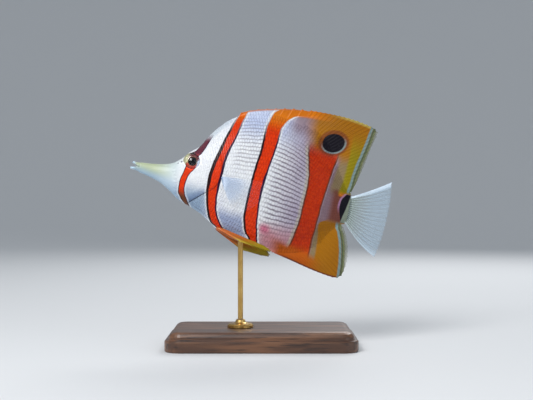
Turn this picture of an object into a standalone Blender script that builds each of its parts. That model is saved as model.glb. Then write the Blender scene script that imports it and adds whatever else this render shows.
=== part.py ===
# Copperband butterflyfish, life size, swimming nose up over a wooden base on one brass rod.
#
# The fish is modelled level, in its own frame, in millimetres: x runs back from the tip of the
# snout, y to the fish's right and z up. An empty then banks and pitches it into its pose.
# Profiles along the body are smooth functions of x, and fins are fans of rays between a root
# line on the body and an outer margin.

import math
from collections import namedtuple

import bpy
from mathutils import Vector

MM = 0.001

# Body, all in millimetres
STANDARD_LENGTH = 136.5  # snout tip to the end of the tail stalk
GAP = 0.3  # left between pieces that touch
STALK_START = 127.5

# Pose
PITCH = math.radians(11.5)  # nose up
BANK = math.radians(-8.0)  # belly turned towards the fish's left
SNOUT_PLACE = (-81.04, 0.0, 112.1)  # of the snout tip, over the middle of the base
TAIL_SWEEP = 3.5  # how far the end of the tail swings to the right
SWEEP_START = 95.0
SWEEP_LENGTH = 67.0

# Eyes
EYE_CENTRE = (37.3, 4.55, 8.8)
EYE_RADII = (4.9, 3.0, 4.9)

# Display stand
BASE_SIZE = (116.0, 68.0)
BASE_CORNER = 10.0
BASE_MOULDING = (  # (how far in from the widest outline, height)
    (0.8, 0.0), (0.0, 0.8), (0.0, 6.2), (0.5, 6.8), (2.0, 7.0), (2.4, 7.5), (2.7, 9.2),
    (3.7, 10.8), (5.4, 11.7), (7.4, 12.0),
)
CORNER_STEPS = 6
ROD_RADIUS = 1.6
ROD_X = 76.0  # where the rod meets the belly, in the fish's frame
FOOT_TURNING = (  # (radius, height) of the collar that the rod stands in
    (8.0, 0.0), (8.0, 1.3), (7.3, 2.1), (4.2, 2.5), (3.2, 3.1), (2.8, 4.4), (2.4, 4.8),
)
SOCKET_DEPTH = 5.0

# Spines and rays
DORSAL_SPINES = 9
DORSAL_RAYS = 29
ANAL_SPINES = 3
ANAL_RAYS = 20
TAIL_RAYS = 17
PECTORAL_RAYS = 14
SPINE_RIDGE = 0.35  # how far each stands up from its membrane
RAY_RIDGE = 0.22
PELVIC_RIDGE = 0.25
PECTORAL_RIDGE = 0.16
SPINE_NOTCH = 0.09  # how far the membrane falls short of the tips, as a share of the ray
RAY_NOTCH = 0.012
FIN_EDGE_HALF = 0.28  # half the thickness of a fin's outer margin
TAIL_BOW = (-0.7, -2.6)  # how far the top and bottom rays of the tail sag half way out

# (x, height) of the body proper, with the fins left off
BODY_TOP = (
    (4.0, 2.4), (12.0, 3.0), (23.6, 5.4), (29.2, 9.1), (34.2, 14.9), (39.6, 19.9), (44.2, 28.0),
    (49.3, 34.6), (57.3, 41.6), (66.0, 44.2), (75.0, 44.0), (83.0, 42.4), (93.0, 39.3),
    (103.0, 35.3), (112.0, 30.3), (121.0, 23.0), (129.0, 14.6), (134.0, 9.4), (138.0, 7.6),
)
BODY_BOTTOM = (
    (4.0, -2.7), (12.0, -4.4), (19.7, -6.8), (25.4, -10.0), (34.2, -15.5), (40.9, -17.8),
    (47.9, -20.7), (55.0, -24.8), (61.0, -28.9), (69.0, -31.6), (79.0, -33.3), (88.0, -34.0),
    (94.0, -33.6), (101.0, -31.4), (109.4, -27.7), (117.8, -22.2), (124.2, -16.7),
    (129.5, -11.9), (134.0, -8.4), (138.0, -7.2),
)
# (x, height) of the widest line, (x, half the width) there, and how each section tapers
BODY_MIDDLE = ((4.0, -0.1), (20.0, -0.7), (37.0, 3.5), (60.0, 6.0), (90.0, 5.0), (138.0, 0.2))
HALF_WIDTH = (
    (4.0, 1.7), (12.0, 2.0), (20.0, 3.0), (28.0, 5.0), (34.0, 6.8), (42.0, 8.6), (50.0, 9.9),
    (60.0, 10.8), (72.0, 11.0), (85.0, 10.0), (98.0, 8.1), (110.0, 6.0), (121.0, 4.3),
    (130.0, 3.1), (138.0, 2.4),
)
TAPER = ((4.0, 0.9), (30.0, 1.0), (50.0, 1.15), (75.0, 1.3), (120.0, 1.2), (138.0, 1.0))
RIDGE_HALF = ((4.0, 0.3), (45.0, 0.45), (57.0, 0.9), (75.0, 1.3), (100.0, 1.2), (138.0, 0.8))

# (height, x) of the line from throat to nape along the back of the gill cover
GILL_EDGE = (
    (-18.2, 37.0), (-16.6, 39.2), (-12.1, 44.8), (-8.6, 49.2), (-5.2, 53.4), (-1.0, 55.8),
    (3.4, 56.4), (8.4, 55.9), (14.0, 54.3), (22.0, 53.4), (32.0, 54.4), (42.0, 56.4),
)
GILL_FLARE = 0.5  # how far the free edge of the gill cover stands off the body
GILL_FLARE_REACH = 9.0
GILL_TOP = 16.5
# (height, x) of the front of the gill cover
COVER_FRONT = ((-20.0, 41.5), (-10.0, 42.6), (0.0, 43.6), (8.0, 45.6), (17.0, 49.0))
COVER_DEPTH = 4.0  # its flat inner face, measured from the middle plane

# (x, height) of the outer margins
DORSAL_MARGIN = (
    (60.0, 46.3), (68.0, 50.0), (80.0, 53.2), (93.0, 55.8), (108.0, 57.0), (122.0, 57.1),
    (135.0, 56.0), (144.6, 54.0), (147.0, 51.4), (144.8, 42.5), (142.5, 30.4), (139.8, 18.6),
    (137.4, 11.0),
)
ANAL_MARGIN = (
    (98.0, -36.0), (108.0, -38.1), (121.6, -41.2), (132.0, -43.0), (138.6, -43.3),
    (141.6, -40.6), (142.8, -33.0), (142.2, -25.0), (140.0, -18.0), (136.8, -11.6),
)
TAIL_MARGIN = ((161.6, 22.8), (162.8, 11.0), (162.6, -1.8), (161.6, -14.0), (159.4, -25.6))


def smooth(points):
    """A smooth function through (x, y) points that never overshoots them."""
    xs, ys = zip(*points)
    steps = [(ys[i + 1] - ys[i]) / (xs[i + 1] - xs[i]) for i in range(len(xs) - 1)]
    slopes = [steps[0]]
    for before, after in zip(steps, steps[1:]):
        level = before * after <= 0
        slopes.append(0.0 if level else 2 * before * after / (before + after))
    slopes.append(steps[-1])

    def at(x):
        x = min(max(x, xs[0]), xs[-1])
        i = max(k for k in range(len(xs) - 1) if xs[k] <= x)
        width = xs[i + 1] - xs[i]
        t = (x - xs[i]) / width
        rise = ys[i + 1] - ys[i]
        bend = slopes[i] * width - rise
        back = rise - slopes[i + 1] * width
        return ys[i] + rise * t + t * (1 - t) * (bend * (1 - t) + back * t)

    return at


def margin(points, samples=160):
    """A curve through (x, height) points, read by its share of the length, 0 to 1."""
    line = [Vector(p) for p in points]
    ends = [2 * line[0] - line[1], *line, 2 * line[-1] - line[-2]]
    fine = []
    for a, b, c, d in zip(ends, ends[1:], ends[2:], ends[3:]):
        for step in range(samples // len(line)):
            t = step / (samples // len(line))
            curve = (2 * a - 5 * b + 4 * c - d) * t * t + (3 * b - a - 3 * c + d) * t**3
            fine.append(b + ((c - a) * t + curve) / 2)
    fine.append(line[-1])
    lengths = [0.0]
    for a, b in zip(fine, fine[1:]):
        lengths.append(lengths[-1] + (b - a).length)

    def at(share):
        wanted = min(max(share, 0.0), 1.0) * lengths[-1]
        i = max(k for k in range(len(fine) - 1) if lengths[k] <= wanted)
        part = (wanted - lengths[i]) / (lengths[i + 1] - lengths[i])
        return fine[i].lerp(fine[i + 1], min(part, 1.0))

    return at


body_top = smooth(BODY_TOP)
body_bottom = smooth(BODY_BOTTOM)
body_middle = smooth(BODY_MIDDLE)
half_width = smooth(HALF_WIDTH)
taper = smooth(TAPER)
ridge_half = smooth(RIDGE_HALF)
gill_edge = smooth(GILL_EDGE)
cover_front = smooth(COVER_FRONT)


def height_at(x, angle):
    """Height of the skin at an angle round the section, from 0 at the back to pi at the belly."""
    middle = body_middle(x)
    reach = body_top(x) if angle < math.pi / 2 else 2 * middle - body_bottom(x)
    return middle + math.cos(angle) * (reach - middle)


def half_at(x, angle):
    """Half the body's thickness at that angle."""
    ridge = ridge_half(x)
    return ridge + (half_width(x) - ridge) * math.sin(angle) ** taper(x)


def half_at_height(x, height):
    """Half the body's thickness at a height above the fish's axis."""
    middle = body_middle(x)
    reach = body_top(x) - middle if height > middle else middle - body_bottom(x)
    share = min(1.0, abs(height - middle) / reach)
    return half_at(x, math.acos(share))


def ease(share):
    share = min(max(share, 0.0), 1.0)
    return share * share * (3 - 2 * share)


def gill_flare(x, height):
    """How far the gill cover lifts off the body, growing towards its free edge."""
    near = ease(1 - (gill_edge(height) - x) / GILL_FLARE_REACH)
    return GILL_FLARE * near * ease((GILL_TOP + 3 - height) / 4)


def no_flare(x, height):
    return 0.0


def on_edge(angle, edge):
    """Where a line of the skin at this angle meets edge, a function of height."""
    x = edge(0.0)
    for _ in range(60):
        x = 0.5 * x + 0.5 * edge(height_at(x, angle))
    return x


Ray = namedtuple("Ray", "root tip thick thin bow", defaults=[Vector((0, 0, 0))])


def material(name, colour, roughness, metallic=0.0):
    made = bpy.data.materials.new(name)
    made.use_nodes = True
    shader = made.node_tree.nodes["Principled BSDF"]
    shader.inputs["Base Color"].default_value = (*colour, 1.0)
    shader.inputs["Roughness"].default_value = roughness
    shader.inputs["Metallic"].default_value = metallic
    return made


def swept(point):
    """The same point with the tail's sideways sweep."""
    x, y, z = point
    share = max(0.0, (x - SWEEP_START) / SWEEP_LENGTH)
    return x, y + TAIL_SWEEP * share * share, z


def piece(name, finish, points, faces, parent=None):
    """An object from points in millimetres. A parent means that it belongs to the fish."""
    mesh = bpy.data.meshes.new(name)
    placed = [swept(p) if parent else p for p in points]
    mesh.from_pydata([[c * MM for c in p] for p in placed], [], faces)
    mesh.shade_smooth()
    mesh.set_sharp_from_angle(angle=math.radians(40))
    if finish:
        mesh.materials.append(finish)
    made = bpy.data.objects.new(name, mesh)
    bpy.context.scene.collection.objects.link(made)
    made.parent = parent
    return made


def cutter(name, points, faces, parent=None):
    made = piece(name, None, points, faces, parent)
    made.hide_render = True
    made.display_type = "WIRE"
    return made


def cut(target, tool, operation="DIFFERENCE"):
    change = target.modifiers.new(tool.name, "BOOLEAN")
    change.operation = operation
    change.object = tool


def loft(name, finish, parent, front, rear, stations, around, shape):
    """A closed length of body. front and rear give x for each angle, and shape its skin."""
    angles = [math.pi * j / around for j in range(around + 1)]
    ring = 2 * len(angles)
    points = []
    for i in range(stations + 1):
        left = []
        for angle in angles:
            x = front(angle) + (rear(angle) - front(angle)) * i / stations
            height, half = shape(x, angle)
            left.append((x, -half, height))
        points += left + [(x, -y, z) for x, y, z in reversed(left)]
    faces = []
    for i in range(stations):
        for j in range(ring):
            a, b = i * ring + j, i * ring + (j + 1) % ring
            faces.append((a, b, b + ring, a + ring))
    last = stations * ring
    for j in range(around):
        right = ring - 1 - j
        faces.append((j, right, right - 1, j + 1))
        faces.append((last + j, last + j + 1, last + right - 1, last + right))
    return piece(name, finish, points, faces, parent)


def body_skin(x, angle):
    return height_at(x, angle), half_at(x, angle)


def head_skin(x, angle):
    height = height_at(x, angle)
    return height, half_at(x, angle) + gill_flare(x, height)


def jaw(name, finish, parent, top, bottom, tip, root, width):
    """One jaw: a short beak with a swollen lip at its tip."""
    upper, lower, wide = smooth(top), smooth(bottom), smooth(width)

    def shape(x, angle):
        middle = (upper(x) + lower(x)) / 2
        height = middle + math.cos(angle) * (upper(x) - lower(x)) / 2
        return height, 0.25 + (wide(x) - 0.25) * math.sin(angle) ** 0.8

    return loft(name, finish, parent, lambda a: tip, lambda a: root, 6, 8, shape)


def ellipsoid(centre, radii, around=20, up=12):
    """Points and faces of a closed ellipsoid with its poles on y."""
    points = [(centre[0], centre[1] - radii[1], centre[2])]
    for i in range(1, up):
        tilt = math.pi * i / up
        for j in range(around):
            turn = 2 * math.pi * j / around
            points.append((
                centre[0] + radii[0] * math.sin(tilt) * math.cos(turn),
                centre[1] - radii[1] * math.cos(tilt),
                centre[2] + radii[2] * math.sin(tilt) * math.sin(turn),
            ))
    points.append((centre[0], centre[1] + radii[1], centre[2]))
    last = len(points) - 1
    faces = []
    for j in range(around):
        k = (j + 1) % around
        faces.append((0, 1 + j, 1 + k))
        for i in range(up - 2):
            a, b = 1 + i * around + j, 1 + i * around + k
            faces.append((a, a + around, b + around, b))
        faces.append((last, last - around + k, last - around + j))
    return points, faces


def prism(outline, near, far):
    """Points and faces of an (x, height) outline, drawn clockwise, run from y near to y far."""
    count = len(outline)
    points = [(x, near, z) for x, z in outline] + [(x, far, z) for x, z in outline]
    faces = [tuple(range(count))[::-1], tuple(range(count, 2 * count))]
    for j in range(count):
        k = (j + 1) % count
        faces.append((j, k, count + k, count + j))
    return points, faces


def fin(name, finish, parent, rays, normal, rows, ridge, notch=0.0):
    """A fin of rays joined by a membrane, from which the rays stand up on both faces."""
    shares = [0.0, 0.08] + [0.08 + 0.92 * (j + 1) / (rows - 1) for j in range(rows - 1)]
    normal = Vector(normal).normalized()
    columns = [(rays[0], ridge, 1.0)]
    for before, ray in zip(rays, rays[1:]):
        between = Ray(*((a + b) / 2 for a, b in zip(before, ray)))
        columns += [(between, 0.0, 1.0 - notch), (ray, ridge, 1.0)]
    points = []
    for side in (-1, 1):
        for ray, raised, reach in columns:
            for share in shares:
                middle = ray.root.lerp(ray.tip, share * reach) + ray.bow * 4 * share * (1 - share)
                half = ray.thick + (ray.thin - ray.thick) * share**0.7
                half += raised * min(1.0, share / 0.1) * (1 - 0.5 * share)
                points.append(middle + normal * side * half)
    deep = len(shares)
    sheet = len(columns) * deep
    faces = []
    for i in range(len(columns) - 1):
        for j in range(deep - 1):
            a, b = i * deep + j, (i + 1) * deep + j
            faces += [(a, b, b + 1), (a, b + 1, a + 1)]
            faces += [(sheet + a, sheet + b + 1, sheet + b)]
            faces += [(sheet + a, sheet + a + 1, sheet + b + 1)]
    rim = [i * deep for i in range(len(columns))]
    rim += [(len(columns) - 1) * deep + j for j in range(1, deep)]
    rim += [i * deep + deep - 1 for i in range(len(columns) - 2, -1, -1)]
    rim += [j for j in range(deep - 2, 0, -1)]
    for a, b in zip(rim, rim[1:] + rim[:1]):
        faces += [(b, a, sheet + a), (b, sheet + a, sheet + b)]
    return piece(name, finish, points, faces, parent)


def facing_out(made):
    """Turns the faces of a closed mesh outwards, whatever the way its normal was chosen."""
    mesh = made.data
    volume = 0.0
    for face in mesh.polygons:
        corners = [mesh.vertices[v].co for v in face.vertices]
        for b, c in zip(corners[1:], corners[2:]):
            volume += corners[0].dot(b.cross(c))
    if volume < 0:
        mesh.flip_normals()
    return made


def head_parts(skin, eye_finish, parent):
    """Head with its eyes and gill covers let in, the snout, and the two parted jaws."""
    snout_start, snout_end = 4.2, 27.0
    loft(
        "snout", skin, parent, lambda a: snout_start, lambda a: snout_end - GAP, 8, 10, body_skin
    )
    jaw(
        "jaw_upper", skin, parent,
        ((0.5, 2.35), (1.4, 2.75), (snout_start, 2.45)), ((0.5, 1.45), (snout_start, 0.25)),
        0.5, snout_start - GAP, ((0.5, 0.9), (1.4, 1.75), (snout_start, 1.6)),
    )
    jaw(
        "jaw_lower", skin, parent,
        ((-0.35, -0.9), (snout_start, -0.05)), ((-0.35, -1.7), (0.7, -2.25), (snout_start, -2.7)),
        -0.35, snout_start - GAP, ((-0.35, 0.8), (0.7, 1.6), (snout_start, 1.6)),
    )

    def head(name):
        return loft(
            name, skin, parent, lambda a: snout_end,
            lambda a: on_edge(a, gill_edge), 14, 14, head_skin,
        )

    whole = head("head")
    for side, word in ((-1, "left"), (1, "right")):
        centre = (EYE_CENTRE[0], side * EYE_CENTRE[1], EYE_CENTRE[2])
        facing_out(piece("eye_" + word, eye_finish, *ellipsoid(centre, EYE_RADII), parent))
        room = [r + GAP for r in EYE_RADII]
        cut(whole, facing_out(cutter("socket_" + word, *ellipsoid(centre, room), parent)))
        for number, (x, height, radius) in enumerate(((28.6, 6.4, 0.65), (30.4, 7.6, 0.8))):
            place = (x, side * half_at_height(x, height), height)
            pit = ellipsoid(place, (radius, 0.7, radius), 10, 6)
            cut(whole, facing_out(cutter(f"nostril_{word}_{number}", *pit, parent)))
        heights = [-20.0 + 4.0 * k for k in range(9)] + [GILL_TOP]
        for grow, kind in ((GAP, "recess"), (0.0, "cover")):
            front = [(cover_front(h) - grow, h) for h in heights[:-1]]
            front.append((cover_front(GILL_TOP) - grow, GILL_TOP + grow))
            outline = front + [(70.0, GILL_TOP + grow), (70.0, -20.0)]
            inner = side * (COVER_DEPTH - grow)
            form = facing_out(cutter(
                f"{kind}_{word}", *prism(outline, inner, side * 20.0), parent
            ))
            if kind == "recess":
                cut(whole, form)
            else:
                cut(head("gill_cover_" + word), form, "INTERSECT")


def trunk_parts(skin, parent, rod_hole):
    torso = loft(
        "torso", skin, parent, lambda a: on_edge(a, gill_edge) + GAP,
        lambda a: STALK_START, 20, 16, body_skin,
    )
    cut(torso, rod_hole)
    loft(
        "tail_stalk", skin, parent, lambda a: STALK_START + GAP,
        lambda a: STANDARD_LENGTH, 4, 12, body_skin,
    )


def median_ray(root_x, line, away, tip):
    """A ray from the ridge of the back or belly, line, to a point of the margin."""
    root = Vector((root_x, 0.0, line(root_x) + away * GAP))
    return Ray(root, Vector((tip[0], 0.0, tip[1])), ridge_half(root_x), FIN_EDGE_HALF)


def shares_between(count, first, last):
    return [first + (last - first) * k / (count - 1) for k in range(count)]


def median_fins(yellow, clear, parent):
    """Dorsal fin in its spiny and soft parts, anal fin and tail fin, all in the middle plane."""
    sideways = (0, 1, 0)
    edge = margin(DORSAL_MARGIN)
    spine_roots = shares_between(DORSAL_SPINES, 58.8, 96.4)
    spine_tips = shares_between(DORSAL_SPINES, 0.0, 0.337)
    spines = [
        median_ray(x, body_top, 1, edge(share)) for x, share in zip(spine_roots, spine_tips)
    ]
    facing_out(fin(
        "dorsal_fin_spines", yellow, parent, spines, sideways, 6, SPINE_RIDGE, SPINE_NOTCH
    ))
    ray_roots = shares_between(DORSAL_RAYS, 96.8, 133.0)
    ray_tips = shares_between(DORSAL_RAYS, 0.34, 1.0)
    rays = [median_ray(x, body_top, 1, edge(share)) for x, share in zip(ray_roots, ray_tips)]
    facing_out(fin("dorsal_fin_rays", yellow, parent, rays, sideways, 7, RAY_RIDGE, RAY_NOTCH))

    edge = margin(ANAL_MARGIN)
    roots = shares_between(ANAL_SPINES, 94.2, 98.2) + shares_between(ANAL_RAYS, 100.4, 133.0)
    tips = [0.0, 0.07, 0.16] + shares_between(ANAL_RAYS, 0.22, 1.0)
    rays = [median_ray(x, body_bottom, -1, edge(share)) for x, share in zip(roots, tips)]
    facing_out(fin("anal_fin", yellow, parent, rays, sideways, 7, RAY_RIDGE, RAY_NOTCH))

    edge = margin(TAIL_MARGIN)
    rays = []
    for share in shares_between(TAIL_RAYS, 0.0, 1.0):
        x = STANDARD_LENGTH + GAP
        height = body_top(x) + (body_bottom(x) - body_top(x)) * (0.02 + 0.96 * share)
        half = min(0.9 * half_at_height(STANDARD_LENGTH, height), 1.5)
        tip = edge(share)
        sag = TAIL_BOW[0] + (TAIL_BOW[1] - TAIL_BOW[0]) * share
        rays.append(Ray(
            Vector((x, 0.0, height)), Vector((tip[0], 0.0, tip[1])), half, FIN_EDGE_HALF,
            Vector((0.0, 0.0, sag)),
        ))
    facing_out(fin("tail_fin", clear, parent, rays, sideways, 7, RAY_RIDGE, RAY_NOTCH))


def pelvic_fin(word, side, splay, width, finish, parent):
    """One spine and five rays, folded back under the belly and splayed out from it."""
    root = Vector((61.3, side * 3.75, -27.7))
    back = Vector((1.0, side * 0.09, -0.19)).normalized()
    out = Vector((0.0, side * math.sin(splay), -math.cos(splay)))
    tips = ((16.5, 1.0), (29.5, 0.78), (34.4, 0.62), (35.2, 0.42), (33.6, 0.22), (30.6, 0.04))
    rays = []
    for k, (along, across) in enumerate(tips):
        start = root + out * 1.9 * (1 - k / 5) + back * 0.4 * k
        end = root + back * along + out * width * across
        rays.append(Ray(start, end, 0.55, FIN_EDGE_HALF))
    normal = back.cross(out)
    facing_out(fin(
        "pelvic_fin_" + word, finish, parent, rays, normal, 6, PELVIC_RIDGE, 2 * RAY_NOTCH
    ))


def pectoral_fin(word, side, flare, finish, parent):
    """A clear fan behind the gill cover, held a little off the flank."""
    rays = []
    for k in range(PECTORAL_RAYS):
        share = k / (PECTORAL_RAYS - 1)
        height = 2.4 - 6.8 * share
        x = 58.4 + 1.6 * share
        turn = math.radians(3.0 - 62.0 * share)
        reach = 29.5 - 13.0 * share**1.6 - 5.0 * (1 - share) ** 6
        root = Vector((x, side * (half_at_height(x, height) + GAP + 0.75), height))
        way = Vector((
            math.cos(flare) * math.cos(turn),
            side * math.sin(flare),
            math.cos(flare) * math.sin(turn),
        ))
        rays.append(Ray(root, root + way * reach, 0.62, FIN_EDGE_HALF))
    normal = (math.sin(flare), -side * math.cos(flare), -0.1)
    facing_out(fin(
        "pectoral_fin_" + word, finish, parent, rays, normal, 6, PECTORAL_RIDGE, RAY_NOTCH
    ))


def paired_fins(yellow, clear, parent):
    pelvic_fin("left", -1, math.radians(62), 8.4, yellow, parent)
    pelvic_fin("right", 1, math.radians(28), 7.4, yellow, parent)
    pectoral_fin("left", -1, math.radians(15), clear, parent)
    pectoral_fin("right", 1, math.radians(20), clear, parent)


def disc_stack(x, y, profile, around=24):
    """Points and faces of a turned form on a vertical axis, from (radius, height) pairs."""
    points = []
    for radius, height in profile:
        for j in range(around):
            turn = 2 * math.pi * j / around
            points.append((x + radius * math.cos(turn), y + radius * math.sin(turn), height))
    faces = [tuple(range(around))[::-1], tuple(range(len(points) - around, len(points)))]
    for i in range(len(profile) - 1):
        for j in range(around):
            k = (j + 1) % around
            a, b = i * around + j, i * around + k
            faces.append((a, b, b + around, a + around))
    return points, faces


def moulded_base(name, finish):
    """A board with rounded corners and a moulding worked along its edge."""
    length, depth = BASE_SIZE
    count = 4 * (CORNER_STEPS + 1)
    points = []
    for inset, height in BASE_MOULDING:
        radius = BASE_CORNER - inset
        for corner, (sx, sy) in enumerate(((1, 1), (-1, 1), (-1, -1), (1, -1))):
            for step in range(CORNER_STEPS + 1):
                turn = math.pi / 2 * (corner + step / CORNER_STEPS)
                x = sx * (length / 2 - BASE_CORNER) + radius * math.cos(turn)
                y = sy * (depth / 2 - BASE_CORNER) + radius * math.sin(turn)
                points.append((x, y, height))
    faces = [tuple(range(count))[::-1], tuple(range(len(points) - count, len(points)))]
    for ring in range(0, len(points) - count, count):
        for j in range(count):
            a, b = ring + j, ring + (j + 1) % count
            faces.append((a, b, b + count, a + count))
    return piece(name, finish, points, faces)


def stand(wood, brass, meeting):
    """The wooden base, a turned brass foot on it and a brass rod from that into the belly."""
    moulded_base("stand_base", wood)
    x, y, belly = meeting
    under_foot = BASE_MOULDING[-1][1] + GAP
    turning = [(radius, under_foot + step) for radius, step in FOOT_TURNING]
    piece("stand_foot", brass, *disc_stack(x, y, turning))
    under_rod = turning[-1][1] + GAP
    ends = ((ROD_RADIUS, under_rod), (ROD_RADIUS, belly + SOCKET_DEPTH - GAP))
    piece("stand_rod", brass, *disc_stack(x, y, ends))


def main():
    for old in list(bpy.data.objects):
        bpy.data.objects.remove(old)
    skin = material("silver_skin", (0.82, 0.83, 0.86), 0.35)
    yellow = material("yellow_fin", (0.86, 0.50, 0.05), 0.45)
    clear = material("clear_fin", (0.78, 0.84, 0.86), 0.4)
    eye = material("eye", (0.03, 0.03, 0.05), 0.1)
    wood = material("dark_wood", (0.16, 0.09, 0.05), 0.45)
    brass = material("brass", (0.72, 0.53, 0.24), 0.3, 1.0)

    fish = bpy.data.objects.new("fish", None)
    bpy.context.scene.collection.objects.link(fish)
    fish.location = [c * MM for c in SNOUT_PLACE]
    fish.rotation_euler = (BANK, PITCH, 0.0)
    bpy.context.view_layer.update()

    belly = Vector((ROD_X * MM, 0.0, body_bottom(ROD_X) * MM))
    meeting = (fish.matrix_world @ belly) / MM
    x, y, bottom = meeting
    hole_radius = ROD_RADIUS + GAP
    bore = disc_stack(x, y, ((hole_radius, bottom - 10.0), (hole_radius, bottom + SOCKET_DEPTH)))
    rod_hole = cutter("rod_hole", *bore)

    head_parts(skin, eye, fish)
    trunk_parts(skin, fish, rod_hole)
    median_fins(yellow, clear, fish)
    paired_fins(yellow, clear, fish)
    stand(wood, brass, meeting)


main()
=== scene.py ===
import math

import bmesh
import bpy
import numpy as np
from mathutils import Euler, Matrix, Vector


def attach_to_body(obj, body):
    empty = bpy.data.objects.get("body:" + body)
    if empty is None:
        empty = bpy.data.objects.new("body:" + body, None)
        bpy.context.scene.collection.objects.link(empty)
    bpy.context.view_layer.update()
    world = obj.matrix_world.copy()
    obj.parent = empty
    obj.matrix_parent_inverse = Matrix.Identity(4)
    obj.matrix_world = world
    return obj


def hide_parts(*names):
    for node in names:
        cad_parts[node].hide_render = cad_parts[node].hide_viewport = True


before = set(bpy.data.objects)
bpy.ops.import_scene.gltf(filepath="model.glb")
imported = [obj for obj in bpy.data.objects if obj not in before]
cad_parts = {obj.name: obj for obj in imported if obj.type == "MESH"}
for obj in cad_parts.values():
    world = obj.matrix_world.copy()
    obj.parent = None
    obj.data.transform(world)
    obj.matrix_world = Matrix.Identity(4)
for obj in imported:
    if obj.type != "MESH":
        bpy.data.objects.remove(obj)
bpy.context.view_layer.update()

# Body
# The fish is deep and very thin, with a long beak. Its skin runs in one piece from the beak to
# the tail stalk and a little way up the bases of the back and belly fins. It is modelled level
# in its own frame, in millimetres: x back from the snout's tip, y to its right, z up.

MM = 0.001
SNOUT_PLACE = Vector((-81.04, 0.0, 112.1)) * MM
BANK = math.radians(-8.0)
PITCH = math.radians(11.5)
turned = Euler((BANK, PITCH, 0.0)).to_matrix()
# The tail swings this far to the fish's right, more and more behind SWEEP_START
TAIL_SWEEP = 3.5
SWEEP_START = 95.0
SWEEP_LENGTH = 67.0


def smooth(points):
    """A smooth function through (x, y) points that never overshoots them."""
    xs, ys = np.array(points, float).T
    steps = np.diff(ys) / np.diff(xs)
    before, after = steps[:-1], steps[1:]
    total = np.where(before * after > 0, before + after, 1.0)
    bends = np.where(before * after > 0, 2 * before * after / total, 0.0)
    slopes = np.concatenate([steps[:1], bends, steps[-1:]])

    def at(x):
        x = np.clip(x, xs[0], xs[-1])
        i = np.clip(np.searchsorted(xs, x, side="right") - 1, 0, len(xs) - 2)
        width = xs[i + 1] - xs[i]
        t = (x - xs[i]) / width
        rise = ys[i + 1] - ys[i]
        bend = slopes[i] * width - rise
        back = rise - slopes[i + 1] * width
        return ys[i] + rise * t + t * (1 - t) * (bend * (1 - t) + back * t)

    return at


body_top = smooth((
    (3, 2.3), (12, 3), (23.6, 5.4), (29.2, 9.1), (34.2, 14.9), (39.6, 19.9), (44.2, 28),
    (49.3, 34.6), (57.3, 41.6), (66, 44.2), (75, 44), (83, 42.4), (93, 39.3), (103, 35.3),
    (112, 30.3), (121, 23), (129, 14.6), (134, 9.4), (138, 7.6),
))
body_bottom = smooth((
    (3, -2.5), (12, -4.4), (19.7, -6.8), (25.4, -10), (34.2, -15.5), (40.9, -17.8), (47.9, -20.7),
    (55, -24.8), (61, -28.9), (69, -31.6), (79, -33.3), (88, -34), (94, -33.6), (101, -31.4),
    (109.4, -27.7), (117.8, -22.2), (124.2, -16.7), (129.5, -11.9), (134, -8.4), (138, -7.2),
))
body_middle = smooth(((4, -0.1), (20, -0.7), (37, 3.5), (60, 6), (90, 5), (138, 0.2)))
half_width = smooth((
    (3, 1.7), (12, 2), (20, 3), (28, 5), (34, 6.8), (42, 8.6), (50, 9.9), (60, 10.8), (72, 11),
    (85, 10), (98, 8.1), (110, 6), (121, 4.3), (130, 3.1), (138, 2.4),
))
taper = smooth(((4, 0.9), (30, 1), (50, 1.15), (75, 1.3), (120, 1.2), (138, 1)))
ridge_half = smooth(((4, 0), (42, 0.1), (50, 0.5), (57, 0.9), (75, 1.3), (100, 1.2), (138, 0.8)))
# (z, x) of the gill cover's free edge and of the cheek's
GILL_EDGE = (
    (-18.2, 37), (-16.6, 39.2), (-12.1, 44.8), (-8.6, 49.2), (-5.2, 53.4), (-1, 55.8),
    (3.4, 56.4), (8.4, 55.9), (14, 54.3), (22, 53.4), (32, 54.4), (42, 56.4),
)
gill_edge = smooth(GILL_EDGE)
cheek_edge = smooth(((-12, 41), (-8, 45.4), (-2, 47.8), (6, 48.4), (14, 47.2)))

# How far the scaly skin climbs the fins, with a plain crest of CREST where there is no fin
CREST = 0.35
sheath_top = smooth((
    (54, CREST), (57, 0.8), (60, 2), (66, 5), (80, 7), (95, 9.5), (112, 13), (122, 10.5),
    (130, 5.5), (136, 2.2),
))
sheath_bottom = smooth((
    (92, CREST), (95, 1.6), (102, 4.5), (112, 8), (122, 8), (129, 4.5), (135, 1.8),
))
SHEATH_EDGE = 0.1

# (x, z) of the eye's middle, and how much of its radius shows in its rim
EYE_CENTRE = (37.3, 8.8)
EYE_SHOWS = 4.7
# (x, z, radius) of each nostril, and (x, z, half length, half height) of the lobe at the fin
NOSTRILS = ((28.6, 6.4, 0.5), (30.6, 7.7, 0.7))
LOBE = (58.4, -0.6, 1.7, 4.4)
# Where the back fin and the belly fin start, in x
BACK_FIN_FRONT = 56.0
BELLY_FIN_FRONT = 92.0


def ease(share):
    """0 below 0 and 1 above 1, easing between."""
    share = np.clip(share, 0.0, 1.0)
    return share * share * (3 - 2 * share)


def soft_max(a, b, reach):
    """The larger of two, with a rounded corner where they cross."""
    share = np.clip(0.5 + 0.5 * (a - b) / reach, 0.0, 1.0)
    return b + (a - b) * share + reach * share * (1 - share)


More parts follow.
